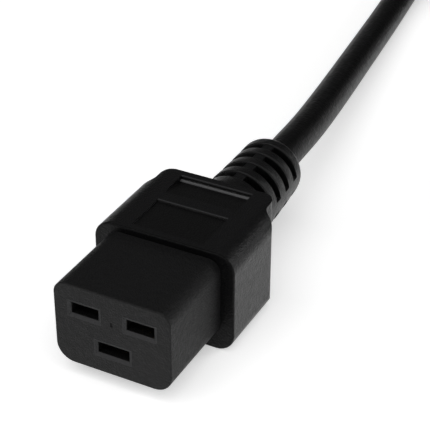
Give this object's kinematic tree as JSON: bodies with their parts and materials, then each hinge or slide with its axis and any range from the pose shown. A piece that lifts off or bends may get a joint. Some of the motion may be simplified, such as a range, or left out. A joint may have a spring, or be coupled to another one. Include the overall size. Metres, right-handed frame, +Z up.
{
  "type": "c19 power connector with cord",
  "caption": "Straight black moulded C19 cord connector with a slotted nose, a ribbed strain relief and a round mains cord that ends in a shrouded plug.",
  "frame": {"origin": "on the surface the connector lies on, under the middle of the connector without its cord", "axes": "-Y out of the mating face, +Y towards the cord, +X to the right seen from the mating side, +Z up"},
  "size_m": [0.1196, 0.3318, 0.0245],
  "materials": {
    "soft_black": "satin",
    "stiff_black": "fine matte texture",
    "cord_black": "satin",
    "tie_black": "woven",
    "contact_brass": "bright",
    "pin_nickel": "nickel plated",
    "strand_copper": "bare stranded copper",
    "insulation_brown": "satin",
    "insulation_blue": "satin",
    "insulation_green": "satin"
  },
  "bodies": {
    "root": {"carrier_back_cap": "stiff_black", "coil_tie": "tie_black", "contact_carrier": "stiff_black", "cord_coil": "cord_black", "cord_run": "cord_black", "cord_tail": "cord_black", "earth_contact": "contact_brass", "earth_wire_insulation": "insulation_green", "earth_wire_strands": "strand_copper", "grip_overmould": "soft_black", "line_contact": "contact_brass", "line_wire_insulation": "insulation_brown", "line_wire_strands": "strand_copper", "neutral_contact": "contact_brass", "neutral_wire_insulation": "insulation_blue", "neutral_wire_strands": "strand_copper", "plug_earth_pin": "pin_nickel", "plug_earth_wire_insulation": "insulation_green", "plug_earth_wire_strands": "strand_copper", "plug_grip": "soft_black", "plug_line_pin": "pin_nickel", "plug_line_wire_insulation": "insulation_brown", "plug_line_wire_strands": "strand_copper", "plug_neutral_pin": "pin_nickel", "plug_neutral_wire_insulation": "insulation_blue", "plug_neutral_wire_strands": "strand_copper", "plug_pin_carrier": "stiff_black"}
  },
  "joints": []
}
